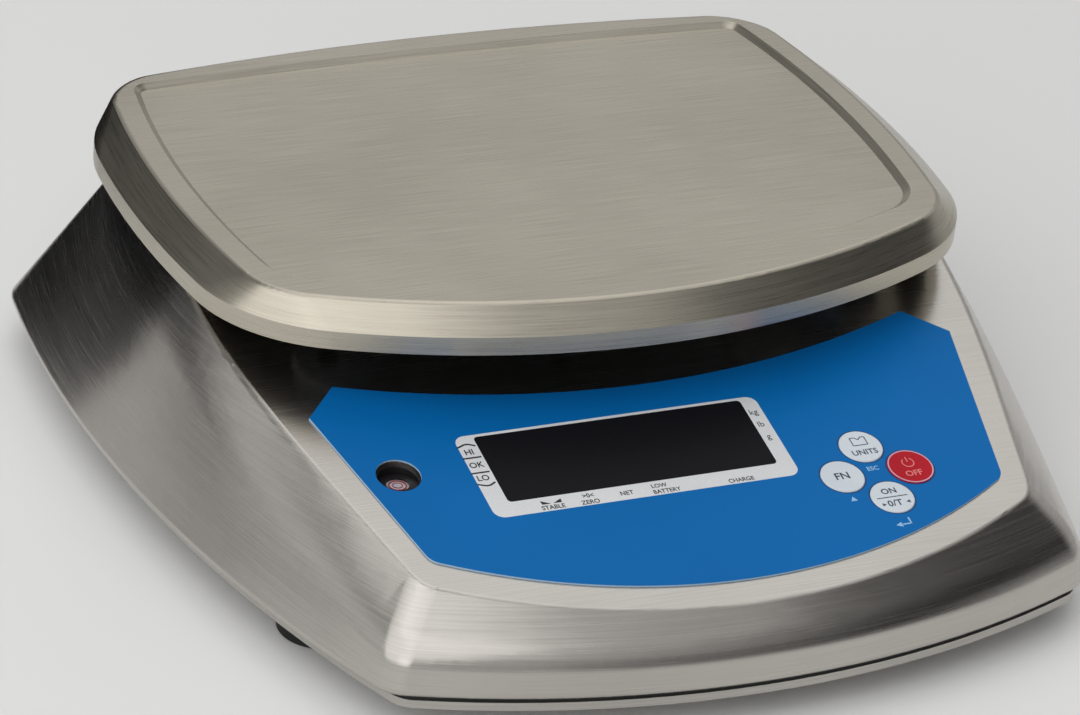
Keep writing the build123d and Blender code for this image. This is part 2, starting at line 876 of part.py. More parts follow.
def make_main_board():
    """Main circuit board."""
    board = Pos(main_board_x, main_board_y, plate_top + main_board_lift)
    board = board * block(main_board_width, main_board_length, board_thickness, 2)
    for x, y in main_board_posts():
        board -= Pos(x, y, plate_top) * rod(board_screw_radius + 0.1, 2 * main_board_lift)
    return board


def make_board_standoffs():
    """Standoffs between the base plate and the main board."""
    one = tube(standoff_radius, board_screw_radius, main_board_lift)
    return [Pos(x, y, plate_top) * one for x, y in main_board_posts()]


def make_board_screws():
    """Screws of the main board."""
    one = screw(board_screw_radius, board_screw_length, board_screw_head_radius, board_screw_head_height)
    return [Pos(x, y, board_seat()) * Rot(180, 0, 0) * one for x, y in main_board_posts()]


def board_seat():
    """Height of the main board's upper face."""
    return plate_top + main_board_lift + board_thickness


def on_board(shape, x, y):
    """Stand a shape on the main board, measured from the board's middle."""
    return Pos(main_board_x + x, main_board_y + y, board_seat()) * shape


def make_board_parts():
    """Larger components on the main board: connectors, chips, coil, capacitors and buzzer."""
    squares = square_chips + (cell_connector, ribbon_connector, power_connector)
    parts = [on_board(block(width, length, height), x, y) for x, y, width, length, height in squares]
    return parts + [on_board(rod(radius, height), x, y) for x, y, radius, height in round_chips]


def make_battery():
    """Sealed rechargeable battery lying on the base plate."""
    body = block(battery_width, battery_length, battery_height, battery_corner)
    around = block(battery_width, battery_length, lid_groove_height)
    core = block(battery_width - lid_groove_depth, battery_length - lid_groove_depth, lid_groove_height)
    body -= Pos(0, 0, battery_height - lid_height) * (around - core)
    return Pos(battery_x, battery_y, plate_top) * body


def make_battery_terminals():
    """Flat blade terminals on the battery's end."""
    one = block(terminal_thickness, terminal_width, terminal_height)
    top = plate_top + battery_height
    return [Pos(battery_x + side * terminal_spread, terminal_y(), top) * one for side in (-1, 1)]


def terminal_y():
    """Place of the blades along the battery."""
    return battery_y + battery_length / 2 - terminal_inset


def make_battery_strap():
    """Sheet strap over the battery with two feet on the base plate."""
    inner = Rectangle(battery_width + 2 * strap_gap, battery_height + strap_gap)
    outer_width = battery_width + 2 * (strap_gap + strap_thickness)
    outer = Rectangle(outer_width, battery_height + strap_gap + strap_thickness)
    foot = Rectangle(battery_width + 2 * (strap_gap + strap_foot), strap_thickness)
    lift = (battery_height + strap_gap) / 2
    arch = Pos(0, lift + strap_thickness / 2) * outer - Pos(0, lift) * inner
    feet = Pos(0, strap_thickness / 2) * foot - Pos(0, lift) * inner
    strap = extrude(Plane.XZ * (arch + feet), strap_width / 2, both=True)
    strap = Pos(battery_x, battery_y, plate_top) * strap
    for x, y in strap_screw_places():
        strap -= Pos(x, y, plate_top) * rod(board_screw_radius + 0.1, strap_thickness)
    return strap


def strap_screw_places():
    """Places of the strap's two screws."""
    reach = battery_width / 2 + strap_gap + (strap_foot + strap_thickness) / 2
    return [(battery_x - reach, battery_y), (battery_x + reach, battery_y)]


def make_strap_screws():
    """Screws of the battery strap, in rivet bushes of the base plate."""
    one = screw(board_screw_radius, strap_thickness, board_screw_head_radius, board_screw_head_height)
    one = Rot(180, 0, 0) * one
    return [Pos(x, y, plate_top + strap_thickness) * one for x, y in strap_screw_places()]


def facing_back(shape):
    """Turn a shape that stands on zero so that it points out of the back."""
    return Pos(socket_x, socket_bay_floor, socket_z) * Rot(-90, 0, 0) * shape


def make_charger_socket():
    """Round charger socket through the bay's floor, with its contact pin."""
    body = Pos(0, 0, -socket_depth) * rod(socket_radius, socket_depth)
    body += rod(socket_flange_radius, socket_flange_thickness)
    bore_bottom = Pos(0, 0, socket_flange_thickness - socket_bore_depth)
    body -= bore_bottom * rod(socket_bore_radius, socket_bore_depth)
    body += bore_bottom * rod(socket_pin_radius, socket_bore_depth - socket_pin_sink)
    return facing_back(body)


def make_socket_nut():
    """Nut behind the bay's floor."""
    nut = hexagon(socket_nut_radius, socket_nut_thickness)
    nut -= rod(socket_radius + thread_gap, socket_nut_thickness)
    return facing_back(Pos(0, 0, -cover_wall - socket_nut_thickness) * nut)


def make_socket_cap():
    """Rubber cap that plugs the socket and is pulled straight out."""
    cap = rod(cap_radius, cap_thickness)
    cap = fillet(cap.edges().sort_by(Axis.Z)[-1], 0.8)
    tab = Pos(0, cap_radius - 2, 0) * block(cap_tab_width, 2 * cap_tab_reach, cap_thickness / 2, 1.5)
    stem = Pos(0, 0, -cap_stem_length) * rod(cap_stem_radius, cap_stem_length)
    bore = Pos(0, 0, -cap_stem_length) * rod(cap_stem_bore, cap_stem_length + socket_flange_thickness)
    return facing_back(Pos(0, 0, socket_flange_thickness + 0.02) * (cap + tab + stem - bore))


def make_foot_pad():
    """Round rubber foot with a small boss around its stud."""
    pad = rod(foot_radius, foot_pad_height)
    pad = fillet(pad.edges().sort_by(Axis.Z)[0], foot_pad_round)
    pad += Pos(0, 0, foot_pad_height) * rod(foot_boss_radius, foot_boss_height)
    return pad - Pos(0, 0, stud_foot()) * rod(stud_radius, foot_pad_height)


def stud_foot():
    """Height of the stud's lower end, inside the rubber."""
    return foot_pad_height / 2


def make_foot_stud():
    """Threaded stud moulded into the rubber foot."""
    stud = Pos(0, 0, stud_foot()) * rod(stud_radius, stud_length)
    return chamfer(stud.edges().sort_by(Axis.Z)[-1], stud_radius / 5)


def make_foot_nut():
    """Lock nut that rests against the underside of the base plate."""
    nut = hexagon(foot_nut_radius, foot_nut_height) - rod(stud_radius + thread_gap, foot_nut_height)
    return Pos(0, 0, floor_gap - foot_nut_height) * nut


def make_foot_inserts():
    """Threaded bushes riveted through the base plate and the cover's flange."""
    shank_length = base_thickness + seal_thickness + cover_wall
    one = rod(insert_shank_radius, shank_length)
    one += Pos(0, 0, shank_length) * rod(insert_radius, insert_height)
    one -= rod(stud_radius + thread_gap, shank_length + insert_height)
    return [Pos(x, y, floor_gap) * one for x, y in foot_places().values()]


def cable(points, radius, bend):
    """Round cable along straight runs joined by bends."""
    path = FilletPolyline(*points, radius=[bend] * (len(points) - 2))
    start = Plane(origin=path @ 0, z_dir=path % 0)
    return sweep(start * Circle(radius), path=path)


def make_cell_cable():
    """Cable from the end of the load cell to its connector on the main board."""
    x, y, _, length, height = cell_connector
    end_x = main_board_x + x
    end_y = main_board_y + y - length / 2
    level = board_seat() + height / 2
    turn_y = cell_front - cable_run
    points = [
        (cable_exit_x, cell_front, level),
        (cable_exit_x, turn_y, level),
        (end_x, turn_y, level),
        (end_x, end_y, level),
    ]
    return cable(points, cable_radius, cable_bend)


def make_display_ribbon():
    """Flat ribbon from the back of the display board to its connector on the main board."""
    x, y, _, _, height = ribbon_connector
    back = panel.from_local_coords(Vector(0, window_v, display_board_top() - board_thickness))
    down = panel.from_local_coords(Vector(0, window_v, display_board_top() - board_thickness - ribbon_rise))
    end_y = main_board_y + y
    end_z = board_seat() + height
    points = [(back.Y, back.Z), (down.Y, down.Z), (end_y, end_z + ribbon_rise), (end_y, end_z)]
    line = FilletPolyline(*points, radius=ribbon_bend)
    band = extrude(Plane.YZ * trace(line, ribbon_thickness), ribbon_width / 2, both=True)
    return Pos(main_board_x + x, 0, 0) * band


def make_battery_leads():
    """Two leads from the battery's blades over the load cell to the power connector."""
    x, y, width, _, height = power_connector
    level = plate_top + battery_height + terminal_height / 2
    leads = []
    for side, (turn_x, turn_y) in zip((-1, 1), lead_places):
        start_x = battery_x + side * terminal_spread - terminal_thickness / 2
        end_x = main_board_x + x - side * width / 4
        points = [
            (start_x, terminal_y(), level),
            (turn_x, terminal_y(), level),
            (turn_x, turn_y, level),
            (end_x, turn_y, level),
            (end_x, turn_y, board_seat() + height),
        ]
        leads.append(cable(points, lead_radius, lead_bend))
    return leads


def save(name, shape):
    """Write one sub-part, as one solid or as a group of separate solids."""
    if isinstance(shape, list):
        shape = Compound(children=[solid for piece in shape for solid in piece.solids()])
    export_step(shape, f"parts/{name}.step")


def main():
    os.makedirs("parts", exist_ok=True)
    save("housing_cover", make_housing_cover())
    save("base_plate", make_base_plate())
    save("base_seal", make_base_seal())
    save("cover_screws", make_cover_screws())
    save("cover_nuts", make_cover_nuts())
    save("overlay", make_overlay())
    save("display_lens", make_display_lens())
    save("display_digits", make_display_digits())
    save("display_board", make_display_board())
    save("display_standoffs", make_display_standoffs())
    save("display_screws", make_display_screws())
    for name, place in key_places.items():
        save(name, make_key(*place))
    save("keypad_spacer", make_keypad_spacer())
    save("keypad_board", make_keypad_board())
    save("key_domes", make_key_domes())
    save("level_holder", make_level_holder())
    save("level_vial", make_level_vial())
    save("platter", make_platter())
    save("pan_support", make_pan_support())
    save("pan_pads", make_pan_pads())
    save("load_post", make_load_post())
    save("post_bolts", make_post_bolts())
    save("post_boot", make_post_boot())
    save("boot_clamp", make_boot_clamp())
    save("load_cell", make_load_cell())
    save("gauge_potting", make_gauge_potting())
    save("cell_seat", make_cell_seat())
    save("cell_bolts", make_cell_bolts())
    save("overload_stop", make_overload_stop())
    save("stop_nut", make_stop_nut())
    save("main_board", make_main_board())
    save("board_parts", make_board_parts())
    save("board_standoffs", make_board_standoffs())
    save("board_screws", make_board_screws())
    save("battery", make_battery())
    save("battery_terminals", make_battery_terminals())
    save("battery_strap", make_battery_strap())
    save("strap_screws", make_strap_screws())
    save("charger_socket", make_charger_socket())
    save("socket_nut", make_socket_nut())
    save("socket_cap", make_socket_cap())
    save("foot_inserts", make_foot_inserts())
    for place, (x, y) in foot_places().items():
        save(f"foot_pad_{place}", Pos(x, y, 0) * make_foot_pad())
        save(f"foot_stud_{place}", Pos(x, y, 0) * make_foot_stud())
        save(f"foot_nut_{place}", Pos(x, y, 0) * make_foot_nut())
    save("cell_cable", make_cell_cable())
    save("display_ribbon", make_display_ribbon())
    save("battery_leads", make_battery_leads())


main()
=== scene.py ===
"""Looks of a stainless steel bench weighing scale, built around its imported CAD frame."""

import bpy
import bmesh
import math
import numpy
from mathutils import Matrix, Vector


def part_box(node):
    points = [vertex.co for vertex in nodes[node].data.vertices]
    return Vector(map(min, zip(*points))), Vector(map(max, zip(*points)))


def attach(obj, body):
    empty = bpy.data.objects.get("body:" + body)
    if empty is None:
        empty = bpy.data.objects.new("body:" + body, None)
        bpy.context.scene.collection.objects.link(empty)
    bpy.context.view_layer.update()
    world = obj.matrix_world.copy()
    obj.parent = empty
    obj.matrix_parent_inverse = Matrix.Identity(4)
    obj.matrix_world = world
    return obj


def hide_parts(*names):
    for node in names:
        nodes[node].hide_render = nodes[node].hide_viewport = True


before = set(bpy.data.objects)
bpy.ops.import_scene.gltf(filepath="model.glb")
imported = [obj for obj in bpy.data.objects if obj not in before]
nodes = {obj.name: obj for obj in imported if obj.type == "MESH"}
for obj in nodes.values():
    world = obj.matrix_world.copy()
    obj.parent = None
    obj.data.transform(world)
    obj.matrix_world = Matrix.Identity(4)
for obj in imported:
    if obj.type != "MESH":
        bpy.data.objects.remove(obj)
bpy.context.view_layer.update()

scene = bpy.context.scene
mm = 0.001

# Camera
# The picture is taken from the front left and from above, with a long lens and a small roll.
camera_place = Vector((-0.5605, -1.1028, 0.7103))
camera_yaw = math.radians(-26.418)
camera_elevation = math.radians(28.651)
camera_roll = math.radians(5.785)
sensor_width = 36.0
picture_lens = 170.59

behind = Vector((
    math.sin(camera_yaw) * math.cos(camera_elevation),
    -math.cos(camera_yaw) * math.cos(camera_elevation),
    math.sin(camera_elevation),
))
level_right = (-behind).cross(Vector((0, 0, 1))).normalized()
level_up = level_right.cross(-behind)
camera_right = math.cos(camera_roll) * level_right + math.sin(camera_roll) * level_up
camera_up = math.cos(camera_roll) * level_up - math.sin(camera_roll) * level_right
camera_data = bpy.data.cameras.new("camera")
camera_data.sensor_width = sensor_width
camera_data.lens = picture_lens
camera_data.clip_start = 0.05
camera = bpy.data.objects.new("camera", camera_data)
camera.matrix_world = Matrix((
    (camera_right.x, camera_up.x, behind.x, camera_place.x),
    (camera_right.y, camera_up.y, behind.y, camera_place.y),
    (camera_right.z, camera_up.z, behind.z, camera_place.z),
    (0, 0, 0, 1),
))
scene.collection.objects.link(camera)
scene.camera = camera


# Floor
# A plain white card that keeps the object's soft shadow.
# Its matt paper has no shine of its own.
def socket(node, name):
    """An input of a node, by its name or as i and its number."""
    is_number = name[0] == "i" and name[1:].isdigit()
    return node.inputs[int(name[1:]) if is_number else name]


def add_node(material, kind, settings=None, links=None):
    """Adds a node to a material or the world, sets its values and links its inputs."""
    node = material.node_tree.nodes.new(kind)
    for name, value in (settings or {}).items():
        if hasattr(node, name):
            setattr(node, name, value)
        else:
            socket(node, name).default_value = value
    for name, source in (links or {}).items():
        material.node_tree.links.new(source, socket(node, name))
    return node


def colour(hex_value, alpha=1.0):
    """Linear colour of an sRGB hex value."""
    parts = [int(hex_value[place:place + 2], 16) / 255 for place in (1, 3, 5)]
    linear = [part / 12.92 if part <= 0.04045 else ((part + 0.055) / 1.055) ** 2.4 for part in parts]
    return (*linear, alpha)


def blank_material(name):
    """A new material with an empty node tree."""
    material = bpy.data.materials.new(name)
    material.use_nodes = True
    material.node_tree.nodes.clear()
    return material


def mesh_piece(name, points, faces, material, smooth=False):
    """A mesh object from points and faces, in metres."""
    mesh = bpy.data.meshes.new(name)
    mesh.from_pydata([tuple(point) for point in points], [], faces)
    mesh.update()
    for polygon in mesh.polygons:
        polygon.use_smooth = smooth
    mesh.materials.append(material)
    piece = bpy.data.objects.new(name, mesh)
    scene.collection.objects.link(piece)
    return piece


floor_reach = 12.0
pale_card = blank_material("pale_card")
card_shader = add_node(pale_card, "ShaderNodeBsdfDiffuse", {"Color": colour("#fafaf9")})
add_node(pale_card, "ShaderNodeOutputMaterial", None, {"Surface": card_shader.outputs[0]})
floor = mesh_piece("floor", [
    (-floor_reach, -floor_reach, 0), (floor_reach, -floor_reach, 0),
    (floor_reach, floor_reach, 0), (-floor_reach, floor_reach, 0),
], [(0, 1, 2, 3)], pale_card)

# Black card
# A curved matt card that stands behind the left side, as a studio uses to give steel a dark reflection.
card_reach = 0.27
card_foot = 0.001
card_height = 0.13
card_start = 96
card_span = 48
card_steps = 16
card_turns = [math.radians(card_start + card_span * step / card_steps) for step in range(card_steps + 1)]
matt_black = blank_material("matt_black_card")
matt_shader = add_node(matt_black, "ShaderNodeBsdfDiffuse", {"Color": colour("#101014")})
add_node(matt_black, "ShaderNodeOutputMaterial", None, {"Surface": matt_shader.outputs[0]})
black_card = mesh_piece("black_card", [
    (card_reach * math.cos(turn), card_reach * math.sin(turn), level)
    for level in (card_foot, card_height) for turn in card_turns
], [
    (step, step + 1, card_steps + 2 + step, card_steps + 1 + step) for step in range(card_steps)
], matt_black)
black_card.visible_camera = False
black_card.visible_diffuse = False
black_card.visible_shadow = False

# Studio
# A soft room, lighter overhead and at the back right, darker at the back left, the right and the front.
# A patch has its azimuth and elevation, its inner and outer reach, all in degrees, and its strength.
room_level = 0.45
room_least = 0.01
room_patches = (
    (-80, 74, 20, 50, 0.10),
    (-112, 72, 10, 26, -0.20),
    (53, 55, 10, 34, 0.60),
    (-12, 50, 17, 40, -0.41),
    (118, 2, 16, 36, -0.42),
    (125, 50, 8, 30, -0.26),
    (158, 16, 6, 20, 0.22),
    (-62, 12, 10, 34, -0.30),
    (-134, 20, 6, 20, 0.35),
    (-30, 5, 10, 40, -0.16),
)
world = bpy.data.worlds.new("studio")
scene.world = world
world.use_nodes = True
world.node_tree.nodes.clear()
room_direction = add_node(world, "ShaderNodeTexCoord")
room_sum = add_node(world, "ShaderNodeValue")
room_sum.outputs[0].default_value = room_level
for azimuth, elevation, inner, outer, strength in room_patches:
    flat = math.cos(math.radians(elevation))
    towards = (
        math.cos(math.radians(azimuth)) * flat,
        math.sin(math.radians(azimuth)) * flat,
        math.sin(math.radians(elevation)),
    )
    facing = add_node(world, "ShaderNodeVectorMath", {"operation": "DOT_PRODUCT", "i1": towards}, {
        "i0": room_direction.outputs["Generated"],
    })
    patch = add_node(world, "ShaderNodeMapRange", {
        "interpolation_type": "SMOOTHSTEP",
        "From Min": math.cos(math.radians(outer)),
        "From Max": math.cos(math.radians(inner)),
        "To Min": 0.0,
        "To Max": strength,
    }, {"Value": facing.outputs["Value"]})
    room_sum = add_node(world, "ShaderNodeMath", {"operation": "ADD"}, {
        "i0": room_sum.outputs[0], "i1": patch.outputs[0],
    })
room_strength = add_node(world, "ShaderNodeMath", {"operation": "MAXIMUM", "i1": room_least}, {
    "i0": room_sum.outputs[0],
})
room_light = add_node(world, "ShaderNodeBackground", {"Color": colour("#ffffff")}, {
    "Strength": room_strength.outputs[0],
})
add_node(world, "ShaderNodeOutputWorld", None, {"Surface": room_light.outputs[0]})

for name, place, aim, width, power in (
    ("overhead_softbox", (0.0, -0.2, 2.2), (0, 0, 0), 2.4, 6.5),
    ("front_left_softbox", (-1.29, -0.74, 1.34), (0, 0, 0.05), 2.8, 21.0),
):
    lamp_data = bpy.data.lights.new(name, "AREA")
    lamp_data.shape = "SQUARE"
    lamp_data.size = width
    lamp_data.energy = power
    lamp = bpy.data.objects.new(name, lamp_data)
    lamp.location = place
    lamp.rotation_euler = (Vector(aim) - Vector(place)).to_track_quat("-Z", "Y").to_euler()
    scene.collection.objects.link(lamp)


# Housing cover and platter
# Stainless sheet, drawn in a press and then brushed with a belt: from side to side on the flats and round
# the sides on the walls. The cover is screwed to the base plate; the platter lifts off its rubber pads.
def brushed_stainless(name, tint, shade, roughness, line_spacing, line_length):
    """Brushed stainless steel: a soft metal sheen drawn out along the grit lines, which catch the light.

    The real lines are about 0.1 mm apart and are drawn coarser so that they show.
    """
    cloud_size = 71.4
    material = blank_material(name)
    place = add_node(material, "ShaderNodeTexCoord")
    fine = 1 / (line_spacing * mm)
    along = 1 / (line_length * mm)
    wall_grain = add_node(material, "ShaderNodeMapping", {"Scale": (along, along, fine)}, {
        "Vector": place.outputs["Object"],
    })
    flat_grain = add_node(material, "ShaderNodeMapping", {"Scale": (along, fine, along)}, {
        "Vector": place.outputs["Object"],
    })
    wall_lines = add_node(material, "ShaderNodeTexNoise", {"Scale": 1.0, "Detail": 2.0, "Roughness": 0.6}, {
        "Vector": wall_grain.outputs[0],
    })
    flat_lines = add_node(material, "ShaderNodeTexNoise", {"Scale": 1.0, "Detail": 2.0, "Roughness": 0.6}, {
        "Vector": flat_grain.outputs[0],
    })
    normal = add_node(material, "ShaderNodeNewGeometry")
    tilt = add_node(material, "ShaderNodeSeparateXYZ", None, {"Vector": normal.outputs["Normal"]})
    is_flat = add_node(material, "ShaderNodeMapRange", {"From Min": 0.90, "From Max": 0.96}, {
        "Value": tilt.outputs[2],
    })
    lines = add_node(material, "ShaderNodeMix", {"data_type": "FLOAT"}, {
        "i0": is_flat.outputs[0], "i2": wall_lines.outputs["Fac"], "i3": flat_lines.outputs["Fac"],
    })
    cloud = add_node(material, "ShaderNodeTexNoise", {
        "Scale": 1 / (cloud_size * mm), "Detail": 3.0, "Roughness": 0.55,
    }, {"Vector": place.outputs["Object"]})
    worn = add_node(material, "ShaderNodeMath", {"operation": "MULTIPLY", "i1": 0.40}, {
        "i0": cloud.outputs["Fac"],
    })
    blend = add_node(material, "ShaderNodeMath", {"operation": "MULTIPLY_ADD", "i1": 0.60}, {
        "i0": lines.outputs[0], "i2": worn.outputs[0],
    })
    tone = add_node(material, "ShaderNodeValToRGB", None, {"Fac": blend.outputs[0]})
    tone.color_ramp.elements[0].position = 0.36
    tone.color_ramp.elements[0].color = colour(shade)
    tone.color_ramp.elements[1].position = 0.64
    tone.color_ramp.elements[1].color = colour(tint)
    gloss = add_node(material, "ShaderNodeMapRange", {
        "From Min": 0.3, "From Max": 0.7, "To Min": roughness - 0.03, "To Max": roughness + 0.03,
    }, {"Value": lines.outputs[0]})
    round_line = add_node(material, "ShaderNodeTangent", {"direction_type": "RADIAL", "axis": "Z"})
    straight_line = add_node(material, "ShaderNodeCombineXYZ", {"X": 1.0})
    line_direction = add_node(material, "ShaderNodeMix", {"data_type": "VECTOR"}, {
        "i0": is_flat.outputs[0], "i4": round_line.outputs[0], "i5": straight_line.outputs[0],
    })
    relief = add_node(material, "ShaderNodeBump", {"Strength": 0.02, "Distance": 0.02 * mm}, {
        "Height": lines.outputs[0],
    })
    shader = add_node(material, "ShaderNodeBsdfPrincipled", {
        "Metallic": 1.0, "Anisotropic": 0.55, "Anisotropic Rotation": 0.25,
    }, {
        "Base Color": tone.outputs[0], "Roughness": gloss.outputs[0],
        "Normal": relief.outputs[0], "Tangent": line_direction.outputs[1],
    })
    add_node(material, "ShaderNodeOutputMaterial", None, {"Surface": shader.outputs[0]})
    return material


def dress(material, *names):
    """Give CAD nodes one material."""
    for name in names:
        nodes[name].data.materials.clear()
        nodes[name].data.materials.append(material)


# The cover is a neutral, satin grey; the platter is a little warmer and duller from use.
cover_steel = brushed_stainless("brushed_stainless_cover", "#c6c2bc", "#b6b2ac", 0.25, 0.30, 40.0)
dress(cover_steel, "housing_cover")
platter_steel = brushed_stainless("brushed_stainless_platter", "#c5bfb1", "#b1ab9d", 0.29, 0.28, 26.0)
dress(platter_steel, "platter")

# The cover's sizes, in mm. An outline has half its width, its front, its back, the place where it is widest,
# then the radii of its sides, front and back, and of its front and back corners.
cover_bottom = 11.9
band_top = 21.85
deck_level = 59.9
panel_tilt = math.radians(12.1)
panel_front = -121.8
panel_front_height = 30.2
base_plan = (131.6, -132.3, 132.3, 46.8, 430.0, 258.0, 590.0, 12.0, 14.0)
deck_plan = (109.7, -84.3, 122.8, 32.8, 149.6, 212.0, 480.0, 16.0, 14.0)
strip_drop = 9.8
front_crease = 22.6
crease_round = 3.6
crease_turn_front = 3.0
crease_turn_back = 5.0
wall_foot = 13.9
foot_bend = 1.5


def circles_meet(first, first_radius, second, second_radius, side):
    """The point where two circles cross, the one on the side given."""
    apart = second - first
    along = (first_radius ** 2 - second_radius ** 2 + apart.length_squared) / (2 * apart.length)
    away = math.sqrt(first_radius ** 2 - along ** 2)
    unit = apart.normalized()
    crossings = [first + unit * along + unit.orthogonal() * reach for reach in (away, -away)]
    return max(crossings, key=lambda point: point.dot(side))


def bowed_plan(half, front, back, widest_at, side_radius, front_radius, back_radius, front_corner, back_corner):
    """Plan outline of four bowed sides with rounded corners, with as many points on each of its eight arcs."""
    right = Vector((half - side_radius, widest_at))
    ends = ((Vector((0, front + front_radius)), front_radius, front_corner, -1),
            (Vector((0, back - back_radius)), back_radius, back_corner, 1))
    turns = []
    for end, end_radius, corner, way in ends:
        centre = circles_meet(right, side_radius - corner, end, end_radius - corner, Vector((1, way)))
        turns.append((centre, math.atan2(*(centre - right).yx), math.atan2(*(centre - end).yx)))
    (near, near_side, near_end), (far, far_side, far_end) = turns
    mirror = Vector((-1, 1))
    half_turn = math.pi
    arcs = (
        (right, side_radius, near_side, far_side),
        (far, back_corner, far_side, far_end),
        (ends[1][0], back_radius, far_end, half_turn - far_end),
        (far * mirror, back_corner, half_turn - far_end, half_turn - far_side),
        (right * mirror, side_radius, half_turn - far_side, half_turn - near_side),
        (near * mirror, front_corner, half_turn - near_side, half_turn - near_end),
        (ends[0][0], front_radius, half_turn - near_end, 2 * half_turn + near_end),
        (near, front_corner, 2 * half_turn + near_end, 2 * half_turn + near_side),
    )
    steps = 40
    return numpy.array([
        (centre.x + radius * math.cos(turn), centre.y + radius * math.sin(turn))
        for centre, radius, start, stop in arcs
        for turn in (start + (stop - start) * step / steps for step in range(steps))
    ])


def rounded_least(first, second, reach):
    """The lesser of two values, rounded off where they are within a reach of each other."""
    share = min(max(0.5 + 0.5 * (second - first) / reach, 0), 1)
    return second + (first - second) * share - reach * share * (1 - share)


def crease_level(y):
    """Height of the bend between the lower wall and the strip that follows the sloped panel."""
    along_panel = panel_front_height + (y - panel_front) * math.tan(panel_tilt) - strip_drop
    from_front = -rounded_least(-along_panel, -front_crease, crease_turn_front)
    return rounded_least(from_front, deck_level - strip_drop, crease_turn_back)


def wall_share(z, level):
    """How far out the wall stands at a height: 0 on the deck's outline and 1 on the base's."""
    rise = 1 / (deck_level - band_top)
    upper = (deck_level - z) * rise
    corner = (deck_level - level) * rise
    fall = (1 - corner) / (level - wall_foot)
    lower = min(corner + fall * (level - z), 1)
    never_nothing = 1e-6
    return rounded_least(upper, lower, crease_round * (rise - fall) + never_nothing)


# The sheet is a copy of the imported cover, cut across its walls so that they can follow the rising bend.
merge_reach = 0.002
cut_reach = 0.001
steepest_flat = 0.93
cover_shape = nodes["housing_cover"].data.copy()
cover_shape.name = "cover_shell"
cutter = bmesh.new()
cutter.from_mesh(cover_shape)
bmesh.ops.remove_doubles(cutter, verts=cutter.verts, dist=merge_reach * mm)
round_steps = (-4.0, -2.8, -1.8, -0.8, 0, 0.8, 1.8, 2.8, 4.0)
level_cuts = [12.0, 12.2, 12.5, 12.9, 13.4, wall_foot, 14.4] + [16.0 + step for step in range(11)]
level_cuts += [28.0 + 3 * step for step in range(9)] + [deck_level - strip_drop + step for step in round_steps]
upright = Vector((0, 0, 1))
slope = Vector((0, -math.sin(panel_tilt), math.cos(panel_tilt)))
cuts = [(Vector((0, 0, level)), upright) for level in level_cuts]
cuts += [(Vector((0, panel_front, panel_front_height - strip_drop + step)), slope) for step in round_steps]
for place, direction in cuts:
    walls = [face for face in cutter.faces if abs(face.normal.z) < steepest_flat]
    edges = {edge for face in walls for edge in face.edges}
    corners = {point for face in walls for point in face.verts}
    bmesh.ops.bisect_plane(
        cutter, geom=walls + list(edges) + list(corners),
        dist=cut_reach * mm, plane_co=place * mm, plane_no=direction,
    )
base_ring = bowed_plan(*base_plan)
deck_ring = bowed_plan(*deck_plan)
base_next = numpy.roll(base_ring, -1, axis=0)
deck_next = numpy.roll(deck_ring, -1, axis=0)

# Each point of the wall moves to the new profile, and its shading follows the profile's own slope.
skin_outside = -0.5
skin_reach = 3.0
skin_middle = 0.75
strip_start = 0.5
strip_slack = 0.03
height_step = 0.1
depth_step = 0.5
wall_normals = {}
cutter.verts.index_update()
for point in cutter.verts:
    x, y, z = point.co / mm
    level = crease_level(y)
    old_share = min((deck_level - z) / (deck_level - band_top), 1)
    ring = deck_ring + old_share * (base_ring - deck_ring)
    ring_step = deck_next + old_share * (base_next - deck_next) - ring
    offset = numpy.array((x, y)) - ring
    along = numpy.clip((offset * ring_step).sum(axis=1) / (ring_step ** 2).sum(axis=1), 0, 1)
    gap = offset - along[:, None] * ring_step
    nearest = int((gap ** 2).sum(axis=1).argmin())
    outward = Vector((ring_step[nearest][1], -ring_step[nearest][0])).normalized()
    depth = -outward.dot(Vector(gap[nearest]))
    is_strip = z > level + crease_round + strip_start
    is_wall = skin_outside < depth < skin_reach
    if not is_wall or is_strip and abs(depth) >= strip_slack:
        continue
    share = along[nearest]
    deck_point = deck_ring[nearest] + share * (deck_next[nearest] - deck_ring[nearest])
    base_point = base_ring[nearest] + share * (base_next[nearest] - base_ring[nearest])
    wall_point = Vector(deck_point + wall_share(z, level) * (base_point - deck_point))
    inset = depth if depth > skin_middle else 0.0
    spread = Vector(base_point - deck_point).dot(outward)
    lean = wall_share(z + height_step, level) - wall_share(z - height_step, level)
    lean *= spread / (2 * height_step)
    below = cover_bottom + foot_bend - z
    if inset == 0 and below > 0:
        bend_square = foot_bend ** 2 - below ** 2
        inset = foot_bend - math.sqrt(max(bend_square, 0))
        lean += below / math.sqrt(max(bend_square, 0.01))
    wall_point -= outward * inset
    behind_share = wall_share(z, crease_level(y + depth_step))
    before_share = wall_share(z, crease_level(y - depth_step))
    drift = (behind_share - before_share) / (2 * depth_step) * spread * outward.x
    facing = Vector((outward.x + outward.y * drift, outward.y - outward.x * drift, -lean)).normalized()
    wall_normals[point.index] = facing if depth < skin_middle else -facing
    if not is_strip:
        point.co = Vector((wall_point.x, wall_point.y, z)) * mm
cutter.to_mesh(cover_shape)
cutter.free()
sharp_angle = 28
nearly_same = 0.9
quite_flat = 0.9998
for polygon in cover_shape.polygons:
    polygon.use_smooth = True
cover_shape.set_sharp_from_angle(angle=math.radians(sharp_angle))
corner_normals = []
